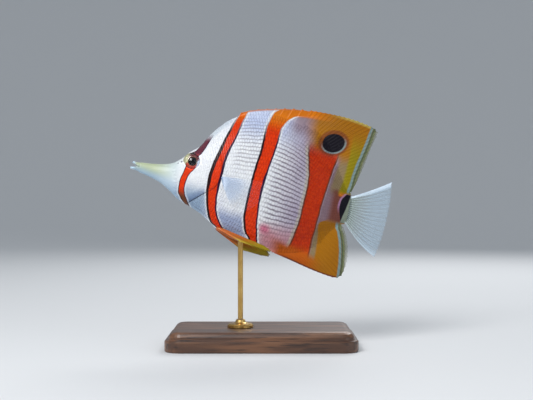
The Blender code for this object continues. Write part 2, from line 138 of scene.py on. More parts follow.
def relief(x, z):
    """What stands out of or sinks into the flank: gill cover, cheek, eye rim, nostrils, lobe."""
    before = gill_edge(z) - x
    low = ease((18.0 - z) / 5.0)
    lift = 0.6 * low * ease(1 - before / 9.0) * ease(before / 0.5)
    before = cheek_edge(z) - x
    low = ease((15.0 - z) / 3.0) * ease((z + 13.0) / 3.0)
    lift += 0.22 * low * ease(1 - before / 4.0) * ease(before / 0.5)
    eye = np.hypot(x - EYE_CENTRE[0], z - EYE_CENTRE[1])
    lift += 0.35 * np.exp(-(((eye - EYE_SHOWS - 0.55) / 0.55) ** 2))
    lift -= 3.2 * ease((EYE_SHOWS + 0.1 - eye) / 0.55)
    for nx, nz, radius in NOSTRILS:
        away = np.hypot(x - nx, z - nz)
        lift += 0.16 * np.exp(-(((away - radius - 0.2) / 0.25) ** 2))
        lift -= 0.7 * ease((radius - away) / 0.35)
    lobe = np.hypot((x - LOBE[0]) / LOBE[2], (z - LOBE[1]) / LOBE[3])
    return lift + 0.75 * ease(1.25 - lobe)


def up_fins(x, z):
    """How far up a fin's scaly base a place is, 0 at its root and 1 at its end."""
    return np.maximum((z - body_top(x)) / sheath_top(x), (body_bottom(x) - z) / sheath_bottom(x))


def flank(x, z, plain=False):
    """Half the fish's thickness at a place seen from its side, out to the fin bases."""
    top, bottom, middle = body_top(x), body_bottom(x), body_middle(x)
    bare = CREST * ease((BACK_FIN_FRONT - x) / 12.0)
    reach = np.where(z > middle, top - middle, middle - bottom) + bare
    share = np.clip(np.abs(z - middle) / reach, 0.0, 1.0)
    body = half_width(x) * np.sqrt(1 - share**2) ** taper(x)
    out = np.clip(up_fins(x, z), 0.0, 1.0)
    ridge = ridge_half(x)
    crest = ridge * np.sqrt(1 - out**2)
    web = SHEATH_EDGE + (ridge - SHEATH_EDGE) * (1 - out) ** 2
    front = np.where(z > middle, BACK_FIN_FRONT, BELLY_FIN_FRONT)
    finned = ease((x - front) / 3.0)
    rounding = (0.2 + 0.8 * finned) * (1 - 0.9 * out)
    half = soft_max(body, crest + (web - crest) * finned, rounding)
    return half if plain else half + relief(x, z)


# Which way the fin bases lean: (x of a ray's root, backward lean of its run from the body)
lean_top = smooth(((56, 0.12), (75, 0.34), (95, 0.62), (115, 0.62), (128, 0.42), (137, 0.25)))
lean_bottom = smooth(((92, 0.9), (100, 0.75), (115, 0.5), (127, 0.45), (137, 0.3)))

# Seen from its side, the skin is a net of columns from fin base over the flank to fin base
columns = np.concatenate([np.arange(3.6, 58.0, 0.36), np.arange(58.0, 136.7, 0.5)])
SHEATH_ROWS = 14
BODY_ROWS = 104
sheath = np.linspace(1.0, 0.0, SHEATH_ROWS, endpoint=False)
share = np.linspace(0.0, 1.0, BODY_ROWS)
down = 0.55 * np.cos(math.pi * share) + 0.45 * (1 - 2 * share)
top, bottom = body_top(columns)[:, None], body_bottom(columns)[:, None]
middle = body_middle(columns)[:, None]
rise = sheath * sheath_top(columns)[:, None]
drop = sheath[::-1] * sheath_bottom(columns)[:, None]
net_x = np.hstack([
    columns[:, None] + rise * lean_top(columns)[:, None],
    np.repeat(columns[:, None], BODY_ROWS, axis=1),
    columns[:, None] + drop * lean_bottom(columns)[:, None],
])
net_z = np.hstack([
    top + rise,
    middle + np.where(down > 0, down * (top - middle), down * (middle - bottom)),
    bottom - drop,
])
side_rows = net_x.shape[1]


def swept(points):
    """Points with the tail's sideways swing."""
    share = np.clip((points[:, 0] - SWEEP_START) / SWEEP_LENGTH, 0.0, None)
    bent = points.copy()
    bent[:, 1] += TAIL_SWEEP * share**2
    return bent


def fish_piece(name, points, faces, material, values=None, closed=True):
    """A mesh of the fish from points in its own frame, with named values at its points."""
    mesh = bpy.data.meshes.new(name)
    placed = swept(points) * MM @ np.array(turned).T + np.array(SNOUT_PLACE)
    mesh.from_pydata(placed.tolist(), [], [tuple(f) for f in faces])
    if closed:
        shell = bmesh.new()
        shell.from_mesh(mesh)
        bmesh.ops.recalc_face_normals(shell, faces=shell.faces)
        if shell.calc_volume(signed=True) < 0:
            bmesh.ops.reverse_faces(shell, faces=shell.faces)
        shell.to_mesh(mesh)
        shell.free()
    for key, numbers in (values or {}).items():
        mesh.attributes.new(key, "FLOAT", "POINT").data.foreach_set("value", numbers)
    mesh.shade_smooth()
    mesh.materials.append(material)
    made = bpy.data.objects.new(name, mesh)
    bpy.context.scene.collection.objects.link(made)
    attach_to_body(made, "root")
    return made


def net_faces(down_count, across_count, start=0):
    """Four-cornered faces of a net of points, row after row."""
    corner = start + np.arange(down_count - 1)[:, None] * across_count
    corner = corner + np.arange(across_count - 1)[None, :]
    quads = [corner, corner + 1, corner + across_count + 1, corner + across_count]
    return np.stack(quads, -1).reshape(-1, 4).tolist()


def ring_faces(ring_count, around, start=0):
    """Four-cornered faces between closed rings of points, ring after ring."""
    faces = []
    for i in range(ring_count - 1):
        for j in range(around):
            a = start + i * around + j
            b = start + i * around + (j + 1) % around
            faces.append((a, a + around, b + around, b))
    return faces


def jaw(top, bottom, width, first, last, inside, around=32, stations=36):
    """A closed loft for one jaw, round at its lip and flat where it meets the other jaw."""
    xs = first + (last - first) * np.linspace(0.0, 1.0, stations) ** 1.7
    angles = np.linspace(0.0, 2 * math.pi, around, endpoint=False)
    up, low, wide = top(xs)[:, None], bottom(xs)[:, None], width(xs)[:, None]
    near = np.clip((xs - first) / 1.1, 0.0, 1.0)[:, None]
    blunt = np.sqrt(1 - (1 - near) ** 2) * 0.97 + 0.03
    flat = 0.42 * ease((xs - 1.6) / 2.6)[:, None]
    waist = (up + low) / 2 + inside * flat * (up - low)
    across = np.cos(angles)
    z = waist + np.where(across > 0, across * (up - waist), across * (waist - low)) * blunt
    y = wide * blunt * np.sign(np.sin(angles)) * np.abs(np.sin(angles)) ** 0.9
    points = np.stack([np.repeat(xs[:, None], around, 1), y, z], -1).reshape(-1, 3)
    faces = ring_faces(stations, around)
    faces.append(range(around))
    faces.append(range((stations - 1) * around, stations * around)[::-1])
    return points, faces


# The beak draws in a little where the jaws come out of it, and is notched between them
near_mouth = 1 - ease((columns - 3.6) / 2.8)[:, None]
drawn = 1 - 0.18 * near_mouth
cleft = 1.5 * near_mouth * np.clip(1 - ((net_z - middle) / (top - middle)) ** 2, 0.0, 1.0)
drawn_z = middle + (net_z - middle) * drawn
left = np.stack([net_x + cleft, -flank(net_x, net_z) * drawn, drawn_z], -1)
right = left * (1, -1, 1)
skin_points = np.concatenate([left.reshape(-1, 3), right.reshape(-1, 3)])
count = left.shape[0] * side_rows
skin_faces = net_faces(len(columns), side_rows) + net_faces(len(columns), side_rows, count)
for i in range(len(columns) - 1):
    for j in (0, side_rows - 1):
        a, b = i * side_rows + j, (i + 1) * side_rows + j
        skin_faces.append((a, b, b + count, a + count))
for i in (0, len(columns) - 1):
    loop = [i * side_rows + j for j in range(side_rows)]
    skin_faces.append(loop + [count + at for at in reversed(loop)])

upper = jaw(
    smooth(((0.4, 2.1), (1.3, 2.72), (2.6, 2.44), (5, 2.56), (8, 1.7))),
    smooth(((0.4, 1.45), (1.4, 1.35), (4.6, -0.02), (8, -0.06))),
    smooth(((0.4, 1), (1.3, 1.6), (2.6, 1.46), (5, 1.66), (8, 0.9))),
    first=0.4, last=8.0, inside=-1,
)
lower = jaw(
    smooth(((-0.35, -0.95), (0.8, -0.9), (4.6, -0.12), (8, -0.1))),
    smooth(((-0.35, -1.6), (0.6, -2.3), (2.2, -2.34), (5, -2.86), (8, -2))),
    smooth(((-0.35, 0.9), (0.6, 1.5), (2, 1.4), (5, 1.66), (8, 0.9))),
    first=-0.35, last=8.0, inside=1,
)
for points, faces in (upper, lower):
    shift = len(skin_points)
    skin_points = np.concatenate([skin_points, points])
    skin_faces += [tuple(v + shift for v in face) for face in faces]


class Wire:
    """A node's output, so that shader maths is written as Python."""

    def __init__(self, tree, socket):
        self.tree, self.socket = tree, socket

    def node(self, kind, settings, inputs, output=0):
        """Adds a node of any kind: its settings first, then each input's value or wire."""
        made = self.tree.nodes.new("ShaderNode" + kind)
        for name, value in settings.items():
            if name == "points":
                curve = made.mapping.curves[0].points
                while len(curve) < len(value):
                    curve.new(1.0, 1.0)
                for knot, at in zip(curve, value):
                    knot.location = at
                made.mapping.update()
            else:
                setattr(made, name, value)
        for key, value in inputs.items():
            if isinstance(value, Wire):
                self.tree.links.new(value.socket, made.inputs[key])
            else:
                made.inputs[key].default_value = value
        return Wire(self.tree, made.outputs[output])

    def maths(self, operation, *values):
        return self.node("Math", {"operation": operation}, dict(enumerate(values)))

    def __add__(self, other):
        return self.maths("ADD", self, other)

    __radd__ = __add__

    def __sub__(self, other):
        return self.maths("SUBTRACT", self, other)

    def __rsub__(self, other):
        return self.maths("SUBTRACT", other, self)

    def __mul__(self, other):
        return self.maths("MULTIPLY", self, other)

    __rmul__ = __mul__

    def __truediv__(self, other):
        return self.maths("DIVIDE", self, other)

    def __neg__(self):
        return self.maths("MULTIPLY", self, -1.0)

    def __abs__(self):
        return self.maths("ABSOLUTE", self)

    def least(self, other):
        return self.maths("MINIMUM", self, other)

    def attribute(self, name):
        return self.node("Attribute", {"attribute_name": name}, {}, output=2)

    def part(self, axis):
        return self.node("SeparateXYZ", {}, {0: self}, output=axis)

    def apart(self, other):
        """How long the line is whose two sides are this wire and the other."""
        line = self.node("CombineXYZ", {}, {0: self, 1: other})
        return self.node("VectorMath", {"operation": "LENGTH"}, {0: line}, output=1)

    def stretched(self, scale):
        return self.node("VectorMath", {"operation": "MULTIPLY"}, {0: self, 1: scale})

    def step(self, low, high):
        """0 below low and 1 above high, easing between, or the other way where low is more."""
        ways = {"interpolation_type": "SMOOTHSTEP"}
        return self.node("MapRange", ways, {0: self, 1: low, 2: high, 3: 0.0, 4: 1.0})

    def follow(self, points):
        """The smooth curve through (this value, result) points."""
        xs, ys = zip(*points)
        low, span = min(ys), (max(ys) - min(ys)) or 1.0
        knots = [((x - xs[0]) / (xs[-1] - xs[0]), (y - low) / span) for x, y in points]
        share = (self - xs[0]) / (xs[-1] - xs[0])
        return self.node("FloatCurve", {"points": knots}, {1: share}) * span + low

    def blend(self, under, over):
        """A colour that goes from under to over as this value goes from 0 to 1."""
        colours = {0: self, 6: under, 7: over}
        return self.node("Mix", {"data_type": "RGBA"}, colours, output=2)

    def darken(self, under, tone):
        """A colour multiplied by tone as this value goes from 0 to 1."""
        ways = {"data_type": "RGBA", "blend_type": "MULTIPLY"}
        return self.node("Mix", ways, {0: self, 6: under, 7: tone}, output=2)

    def speckle(self, size, detail=2.0):
        """Soft noise around 0.5 over this wire's place, with specks of the size given."""
        return self.node("TexNoise", {}, {0: self, 2: 1.0 / size, 3: detail})

    def dents(self, strength=0.3, depth=0.0002):
        """Small dents in a surface where this wire is low."""
        return self.node("Bump", {}, {"Strength": strength, "Distance": depth, "Height": self})


def paint(red, green, blue):
    """A colour given as it looks on a screen, 0 to 255 each."""
    screen = (red / 255, green / 255, blue / 255)
    return tuple(c / 12.92 if c < 0.04 else ((c + 0.055) / 1.055) ** 2.4 for c in screen) + (1.0,)


def new_material(name):
    """A material, its tree's Principled shader, and a wire to start from."""
    made = bpy.data.materials.new(name)
    made.use_nodes = True
    tree = made.node_tree
    shader = tree.nodes["Principled BSDF"]
    return made, shader, Wire(tree, None)


def attach(shader, **inputs):
    """Links a shader's sockets to wires, and sets the ones that get a plain value."""
    for name, value in inputs.items():
        socket = shader.inputs[name.replace("_", " ")]
        if isinstance(value, Wire):
            value.tree.links.new(value.socket, socket)
        else:
            socket.default_value = value


def fish_place(start):
    """A wire with the place in the fish's own level frame, in millimetres."""
    own = start.node("TexCoord", {}, {}, output=3)
    return start.node("Mapping", {"vector_type": "TEXTURE"}, {
        0: own, 1: SNOUT_PLACE, 2: (BANK, PITCH, 0.0), 3: (MM, MM, MM),
    })


# The fish's colours
SILVER = paint(241, 243, 243)
BLUE_SHADE = paint(196, 208, 236)
DEEP_BLUE_SHADE = paint(142, 158, 194)
FACE_SHADE = paint(134, 162, 188)
FACE_FRONT_SHADE = paint(190, 206, 216)
MAUVE_SHADE = paint(176, 164, 182)
PINK = paint(200, 142, 150)
BLUSH = paint(206, 74, 120)
SHADOW = paint(120, 116, 132)
BEAK = paint(172, 183, 150)
BEAK_UNDER_SHADE = paint(150, 174, 192)
LIP = paint(190, 216, 232)
BAR = paint(240, 62, 0)
BAR_DEEP = paint(198, 34, 0)
SHADED_LAST_BAR = paint(222, 70, 0)
SHADED_LAST_BAR_DEEP = paint(186, 42, 0)
BAR_TOP = paint(218, 118, 0)
RUST = paint(178, 82, 2)
EYE_BAR_TOP = paint(104, 48, 62)
EYE_BAR_LOW = paint(110, 62, 34)
AMBER = paint(158, 100, 0)
OLIVE = paint(138, 124, 0)
GREY_OLIVE = paint(134, 114, 82)
STRAW = paint(196, 184, 96)
INK = paint(38, 6, 10)
INK_BLUE = paint(44, 12, 52)
BROWN = paint(112, 50, 24)
DUSKY_SHADE = paint(134, 110, 118)
NAVY = paint(10, 5, 18)
PALE_LINE = paint(120, 143, 144)
DARK_LINE = paint(74, 88, 66)
MARGIN_WEB = paint(118, 124, 84)
STALK_PALE = paint(136, 146, 128)
CREAM = paint(190, 182, 160)
ROSE_LINE = paint(176, 132, 168)
WARM_EDGE = paint(206, 120, 70)

# (z, x) along the front and back of each bar
BAR_EYE = (
    ((-16.5, 37), (-13.3, 34), (-10, 32.4), (-6.3, 32.2), (-2.6, 32.5), (1.9, 33.5),
     (5.9, 34.2), (9.5, 34), (13.6, 34.8), (16.2, 38), (21.9, 40.9), (28, 43.4)),
    ((-16.5, 39.6), (-14.9, 38.6), (-11.2, 36.5), (-7.7, 35.6), (-3.3, 35.9), (0.6, 37),
     (3.5, 39), (6.2, 40.4), (9, 40.6), (12, 40.2), (14.3, 41.5), (19.3, 43.7), (28, 46.4)),
)
BAR_SHOULDER = (
    ((-26.5, 57.8), (-22.5, 53.8), (-18.7, 52.3), (-12.9, 50.7), (-7.2, 49.6), (-2.3, 49.2),
     (2.7, 49.3), (8.6, 50), (14, 51.1), (25, 53.7), (35.8, 56.5), (41.2, 57.9), (50, 61.6)),
    ((-26.5, 62.8), (-23.8, 60.7), (-19.5, 58.3), (-14.9, 57.1), (-8.9, 56.5), (0.4, 57),
     (10.6, 57.4), (16.6, 58), (22.6, 59.3), (29.6, 61), (36.1, 62.1), (42.9, 63.4), (50, 65.4)),
)
BAR_FLANK = (
    ((-36, 83.2), (-29.9, 80.1), (-27.3, 77.6), (-22.8, 76.1), (-17.6, 75), (-5.3, 74.9),
     (7.4, 75.6), (15.8, 76.3), (23.9, 77.2), (30.5, 77.3), (38.9, 77.5), (45.9, 78.7), (52, 82)),
    ((-36, 88), (-30.5, 85.8), (-25.9, 84.8), (-18.9, 83.5), (-6.7, 82.8), (7.3, 83.6),
     (13.7, 84.2), (21.1, 85.3), (34.2, 86.6), (40, 86.9), (43.3, 87.9), (47.6, 90.5), (52, 99)),
)
BAR_REAR = (
    ((-44, 101.5), (-31.2, 105.5), (-26.1, 106.9), (-19.7, 108.1), (-13.3, 109), (-0.8, 109.4),
     (5.8, 109.8), (12, 109.6), (21.5, 108), (31.1, 106.3), (41.1, 105.1), (58, 104.2)),
    ((-44, 118.4), (-33, 118.8), (-23.3, 119), (-14.1, 119.6), (-2.6, 120.4), (9.9, 121.8),
     (22.3, 123.5), (30, 125), (58, 128)),
)
# (z, x) of the pale line that runs inside the rear margins of the two fins
MARGIN_LINE = (
    (-44, 139.2), (-36.9, 138.8), (-30.7, 138.2), (-22.8, 136.7), (-15.1, 134.2), (-10.4, 132.3),
    (0, 133.6), (12.1, 135.7), (19.8, 136.6), (28.4, 137.8), (35.5, 139.4), (43.5, 141),
    (58, 143.4),
)
# (z, x) where the plain webs behind the last bar start
YELLOW_FRONT = (
    (-44, 122.4), (-25.8, 122), (-19.5, 121.6), (-14, 120.6), (-9.5, 125), (7.8, 128.8),
    (20.8, 130.8), (30.5, 131.4), (43.5, 131.6), (58, 131.6),
)
# (x, z) of the outer edges of the back fin and of the belly fin
BACK_EDGE = (
    (57, 44.6), (60, 46.3), (68, 50), (80, 53.2), (93, 55.8), (108, 57), (122, 57.1), (135, 56),
    (148, 52.8),
)
BELLY_EDGE = ((90, -34.4), (98, -36), (108, -38.1), (121.6, -41.2), (132, -43), (146, -43.4))
# The dark line behind the gill cover ends with the lower part of its edge
GILL_LINE = GILL_EDGE[:10]
# (z, x) along the front and back of the black bar on the tail stalk
STALK_BAR = (
    ((-8.6, 134.2), (-6.6, 133.3), (-4.3, 132.5), (-0.7, 131.8), (2, 131.8), (4.5, 132.2),
     (6.2, 133), (8.6, 134.6)),
    ((-8.6, 134), (-5, 134.8), (-2.4, 135.4), (0.3, 135.9), (2.9, 136.4), (5.6, 137), (8.6, 137.6)),
)
# (x, z) of the nape's outline
NAPE = ((30, 7), (35, 11), (40, 17.5), (46, 27), (52, 36), (60, 44))
# (x, z) of the eyespot, its half width and half height, and how it leans
EYESPOT = (120.7, 39.1)
EYESPOT_RADII = (6.7, 5.9)
EYESPOT_LEAN = 0.16


def fish_colours(start):
    """The fish's markings: its place as a wire, the x and z of it, and the colour there."""
    place = fish_place(start)
    x, z = place.part(0), place.part(2)
    wobble = place.speckle(5.0) - 0.5
    x = x + wobble * 0.8
    fine = place.speckle(1.6)
    cloud = place.speckle(22.0)

    # Silver ground, painted blue shade on the back and low ahead, painted mauve shade behind, pink
    # low behind
    # Painted bluish shade along the back's edge and low on the flank ahead of the belly
    back_blue_shade = z.step(22, 44) * x.step(48, 66) * 0.85
    low_blue_shade = z.step(-6, -24) * x.step(70, 52) * 0.7
    colour = ((back_blue_shade + low_blue_shade) * (0.55 + cloud * 0.9)).least(1.0).blend(SILVER, BLUE_SHADE)
    # Painted deep blue shade low on the flank, above the belly
    low = z.step(-14, -22) * x.step(84, 74) * x.step(56, 60)
    colour = (low * 0.85).blend(colour, DEEP_BLUE_SHADE)
    # Painted shade on the front of the face, under the head, and along the nape's edge where the
    # flank turns away
    under_face = (z + abs(x - 36.0) * 0.1).step(-1, -12) * x.step(58, 46)
    colour = (x.step(34, 25) * 0.8).blend(colour, FACE_FRONT_SHADE)
    colour = (under_face * 0.85).blend(colour, FACE_SHADE)
    crest = (x.follow(NAPE) - z).step(4.5, 0.5) * x.step(34, 42) * x.step(60, 54)
    colour = (crest * 0.6).blend(colour, FACE_FRONT_SHADE)
    # Painted mauve shade over the rear of the body, broken up by cloud
    rear_mauve_shade = x.step(84, 106) * (0.6 + cloud * 0.6)
    colour = rear_mauve_shade.least(1.0).blend(colour, MAUVE_SHADE)
    # Painted darker shade high behind the third bar
    colour = (x.step(88, 98) * z.step(34, 46) * 0.8).blend(colour, DUSKY_SHADE)
    pink = x.step(76, 92) * z.step(-15, -27) * (0.5 + cloud * 0.8)
    colour = pink.least(1.0).blend(colour, PINK)
    blush = (x - 88.6).apart((z + 23.0) * 1.2)
    colour = (blush.step(5.5, 0.5) * 0.75).blend(colour, BLUSH)
    # Painted shade on the beak's lower half
    under = (z + x * 0.16).step(3, -2.5)
    colour = x.step(33, 13).blend(colour, under.blend(BEAK, BEAK_UNDER_SHADE))
    colour = x.step(3.6, 1.2).blend(colour, LIP)
    for nx, nz, radius in NOSTRILS:
        away = (x - nx).apart(z - nz)
        colour = (away.step(radius + 0.1, radius - 0.25) * 0.8).blend(colour, SHADOW)
    behind_gill = x - z.follow(GILL_LINE)
    gill_line = behind_gill.step(-0.3, 0) * behind_gill.step(0.9, 0.2) * z.step(16, -2)
    gill_shade = behind_gill.step(-9, -0.5) * behind_gill.step(0.3, 0) * z.step(-3, -9)
    colour = (gill_shade * 0.6).darken(colour, DEEP_BLUE_SHADE)
    colour = (gill_line * 0.85).darken(colour, SHADOW)

    # Three bars with dark edges, which fade near the back
    dark = z.step(48, 30) * 0.7 + 0.3

    def bar(under, edges, fill, front_ink, back_ink, halo=0.7):
        """A bar with dark edges, and a pale line along them."""
        ahead, behind = x - z.follow(edges[0]), z.follow(edges[1]) - x
        inside = ahead.least(behind)
        shown = (inside.step(-1.7, -0.6) * halo).blend(under, SILVER)
        ink = (ahead - behind).step(-0.5, 0.5).blend(INK, INK_BLUE)
        shown = (inside.step(-0.4, -0.1) * dark).blend(shown, ink)
        core = (ahead - front_ink).step(-0.2, 0.35) * (behind - back_ink).step(-0.2, 0.35)
        return core.blend(shown, fill)

    glow = fine.step(0.25, 0.8) * 0.55
    red = glow.blend(BAR, BAR_DEEP)
    eye_red = z.step(-7, -14).blend(red, EYE_BAR_LOW)
    eye_fill = z.step(9, 15).blend(eye_red, EYE_BAR_TOP)
    bare = colour
    colour = bar(colour, BAR_EYE, eye_fill, 0.2, 0.2, 0.5)
    colour = z.step(23, 30).blend(colour, bare)
    fill = z.step(36, 50).blend(red, BAR_TOP)
    mid_bar = z.step(-10, -1) * z.step(30, 16)
    colour = bar(colour, BAR_SHOULDER, fill, mid_bar * 0.7 + dark * 1.1, mid_bar * 0.5 + dark * 0.7)
    low_ink = z.step(14, 6) * z.step(-10, -2) * 0.5
    colour = bar(colour, BAR_FLANK, fill, dark, low_ink + dark * 0.6, 0.9)
    colour = (gill_line * 0.5).darken(colour, SHADOW)

    # The last bar and what lies round it
    front, back = z.follow(BAR_REAR[0]), z.follow(BAR_REAR[1])
    past_bar = x - back
    past_front = x - z.follow(YELLOW_FRONT)
    # Painted dusky shade on the body behind the last bar
    dusk = past_bar.step(-1, 1.5)
    colour = dusk.blend(colour, DUSKY_SHADE)
    grey = past_bar.step(1, 3.5) * z.step(4, 12) + z.step(-10, -18)
    colour = (grey * dusk).blend(colour, GREY_OLIVE)
    brown = x.step(123.5, 128.5) * abs(z).step(12, 8.5)
    colour = (brown * 0.85).blend(colour, BROWN)
    high = z.step(25, 34)
    colour = (high * (x - front).step(-5, 6)).blend(colour, AMBER)
    rear_web = past_front.step(-0.5, 1.6) * z.step(6.5, 9.5)
    colour = rear_web.blend(colour, z.step(30, 52).blend(OLIVE, AMBER))
    colour = (z.step(11, 6) * z.step(6, 7.5) * x.step(129, 131)).blend(colour, BAR_TOP)
    low_web = past_front.step(-0.3, 1) * z.step(-8, -11)
    colour = low_web.blend(colour, AMBER)
    from_front = x - front
    pale = from_front.step(-2.8, -1.2) * from_front.step(0, -0.5) * z.step(38, 30)
    colour = (pale * 0.7).blend(colour, CREAM)
    inside = from_front.least(-past_bar)
    down = z.step(39, 27)
    colour = (inside.step(-0.6, -0.1) * down).blend(colour, BROWN)
    # The last bar's reds are painted darker than the other bars', as painted shade over the rear
    deep = (glow + 0.6).least(1.0).blend(SHADED_LAST_BAR, SHADED_LAST_BAR_DEEP)
    colour = (inside.step(0.2, 1) * down).blend(colour, z.step(-26, -36).blend(deep, RUST))

    # Orange and amber along the edges of the back fin and of the belly fin
    from_top = x.follow(BACK_EDGE) - z
    from_low = z - x.follow(BELLY_EDGE)
    along_back = from_top.step(6, 4.2) * x.step(82, 90) * x.step(122, 100)
    colour = along_back.blend(colour, BAR_TOP)
    warm = from_top.step(1.8, 0.7) * x.step(60, 66) * x.step(104, 90)
    colour = (warm * 0.85).blend(colour, WARM_EDGE)
    straw = from_top.step(2.6, 0.6) * x.step(112, 132)
    colour = (straw * 0.75).blend(colour, STRAW)
    low_edge = from_low + (x - 100.0) * 0.03
    along_belly = low_edge.step(10.5, 5.5) * x.step(91, 101)
    colour = along_belly.blend(colour, x.step(114, 130).blend(RUST, AMBER))
    colour = (from_low.step(1.3, 0.6) * x.step(99, 106)).blend(colour, BROWN)

    # Orange belly between the pelvic fins
    keel = (z + 27.9 + (x - 61.0) * 0.34).step(0.3, -0.4) * x.step(59, 60.5) * x.step(76, 72)
    colour = keel.blend(colour, WARM_EDGE)

    # Eyespot: black in an amber ring, edged with pale blue below and behind
    spot_x, spot_z = x - EYESPOT[0], z - EYESPOT[1]
    spot_across = (spot_x - spot_z * EYESPOT_LEAN) / EYESPOT_RADII[0]
    from_spot = spot_across.apart(spot_z / EYESPOT_RADII[1])
    colour = (from_spot.step(1.55, 1.3) * 0.75).blend(colour, BROWN)
    ring = from_spot.step(1.26, 1.1) * (spot_x * 0.5 - spot_z).step(-3.5, 4.5)
    colour = (ring * 0.85).blend(colour, PALE_LINE)
    colour = from_spot.step(1.07, 0.98).blend(colour, NAVY)

    # Pale and dark lines inside the rear margins
    to_line = z.follow(MARGIN_LINE) - x
    lined = abs(z).step(8.6, 11) * x.step(128, 131)
    colour = ((to_line + 1.0).step(0.3, -0.3) * lined).blend(colour, MARGIN_WEB)
    colour = (abs(to_line).step(1.2, 0.4) * lined).blend(colour, PALE_LINE)
    colour = (abs(to_line + 1.4).step(0.8, 0.2) * lined * 0.9).blend(colour, DARK_LINE)

    # Tail stalk: a rosy line, a slanting black bar and the pale root of the tail
    stalk = abs(z).step(9.4, 8.6)
    into_bar = x - z.follow(STALK_BAR[0])
    colour = (stalk * into_bar.step(-1.7, -0.7) * z.step(-5, 2) * 0.8).blend(colour, ROSE_LINE)
    colour = (stalk * into_bar.step(-0.3, 0.3)).blend(colour, NAVY)
    colour = (stalk * (x - z.follow(STALK_BAR[1])).step(-0.3, 0.3)).blend(colour, STALK_PALE)
    return place, x, z, colour


skin_material, skin_shader, start = new_material("fish_skin")
place, x, z, colour = fish_colours(start)
grain = place.speckle(0.7, 3.0)
attach(skin_shader, Base_Color=colour, Roughness=0.3 + grain * 0.16, Normal=grain.dents(0.25),
       Specular_IOR_Level=0.25, Coat_Weight=0.1, Coat_Roughness=0.2)

skin = fish_piece("skin", skin_points, skin_faces, skin_material)
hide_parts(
    "snout", "jaw_upper", "jaw_lower", "head", "gill_cover_left", "gill_cover_right",
    "torso", "tail_stalk",
)

# Scales
# Small overlapping scales lie in rows over the cheeks and flanks and climb the fin bases. Each is
# a thin curved plate, its root sunk in the skin and its rear edge turned down, open beneath. The
# rows arch over the middle of the flank, and thin dark lines run between them: partly dark pigment
# and partly painted shadow. Each scale also takes painted shade toward its root.

FIRST_SCALE = 24.5
LAST_SCALE = 137.4
ROWS = 31
# Rows beyond 0 and ROWS lie on the fin bases
FIRST_ROW = -9
LAST_ROW = 41
ROW_ARCH = 4.8
ROW_ARCH_X = 83.0
ROW_ARCH_REACH = 17.0
# A scale follows the last by SPACING of the rows' pitch, and is SCALE_LENGTH times as long as
# that. SCALE_WIDTH is its half width, as a share of the pitch.
SPACING = 0.66
SCALE_LENGTH = 2.1
SCALE_WIDTH = 0.62
# Points along and across one scale, and how wide its patch of the baking map is
ALONG = 4
ACROSS = 5
PATCH = 0.003
# z of the first and last whole row over the flank, at x
rows_top = smooth((
    (20, 5.6), (34, 15.5), (40, 21.5), (49, 34), (57, 41.2), (66, 44), (95, 44),
    (120, 32), (137, 18), (139, 17),
))
rows_bottom = smooth((
    (20, -8), (34, -15.6), (41, -18.2), (48, -21.4), (61, -29), (90, -36), (120, -30),
    (137, -16), (139, -15),
))


def row_height(row, x):
    """The z of a row of scales at x."""
    share = (row + 0.5) / ROWS
    arch = ROW_ARCH * np.exp(-(((x - ROW_ARCH_X) / ROW_ARCH_REACH) ** 2))
    flat = rows_bottom(x) + share * (rows_top(x) - rows_bottom(x))
    return flat + arch * np.clip(share * 1.6, 0, 1)


def scale_roots(draw):
    """Where each scale of one side grows: x, z, and the row's slope and pitch there."""
    xs = np.arange(FIRST_SCALE, LAST_SCALE, 0.1)
    pitch = (rows_top(xs) - rows_bottom(xs)) / ROWS
    phase = np.cumsum(0.1 / (SPACING * pitch))
    found = []
    for row in range(FIRST_ROW, LAST_ROW + 1):
        steps = np.arange(1.0, phase[-1]) + 0.5 * (row % 2)
        at = np.interp(steps + draw.uniform(-0.09, 0.09, len(steps)), phase, xs)
        height = row_height(row, at)
        slope = row_height(row, at + 0.5) - row_height(row, at - 0.5)
        size = np.interp(at, xs, pitch)
        height += size * draw.uniform(-0.05, 0.05, len(at))
        found.append(np.stack([at, height, slope, size, np.full(len(at), row)]))
    x, z, slope, size, row = np.concatenate(found, axis=1)
    eye = np.hypot(x - EYE_CENTRE[0], z - EYE_CENTRE[1])
    keep = eye > EYE_SHOWS + 0.7 + 0.5 * size
    keep &= z < body_top(x) + np.where(x > 55.0, sheath_top(x), 0.0) - 0.42 * size
    keep &= z > body_bottom(x) - np.where(x > 93.0, sheath_bottom(x), 0.0) + 0.42 * size
    # They begin along a ragged line over the cheek
    keep &= x > 27.0 - 0.25 * (z - 2.0) + 1.2 * np.sin(row * 2.1)
    for nx, nz, radius in NOSTRILS:
        keep &= np.hypot(x - nx, z - nz) > radius + 0.9
    return np.stack([x, z, slope, size])[:, keep]


def arc_share(x, z, samples=60):
    """How far round the half section a place lies, from the belly's edge to the back's."""
    low = body_bottom(x) - sheath_bottom(x)
    high = body_top(x) + sheath_top(x)
    steps = np.linspace(0.0, 1.0, samples)[:, None]
    zs = low + (high - low) * steps
    halves = flank(np.repeat(x[None, :], samples, 0), zs, plain=True)
    lengths = np.hypot(np.diff(halves, axis=0), np.diff(zs, axis=0))
    total = np.vstack([np.zeros_like(x), np.cumsum(lengths, axis=0)])
    place = np.clip((z - low) / (high - low), 0.0, 1.0) * (samples - 1)
    step = np.clip(place.astype(int), 0, samples - 2)
    pick = np.arange(len(x))
    reached = total[step, pick] + (place - step) * lengths[step, pick]
    return reached / total[-1]


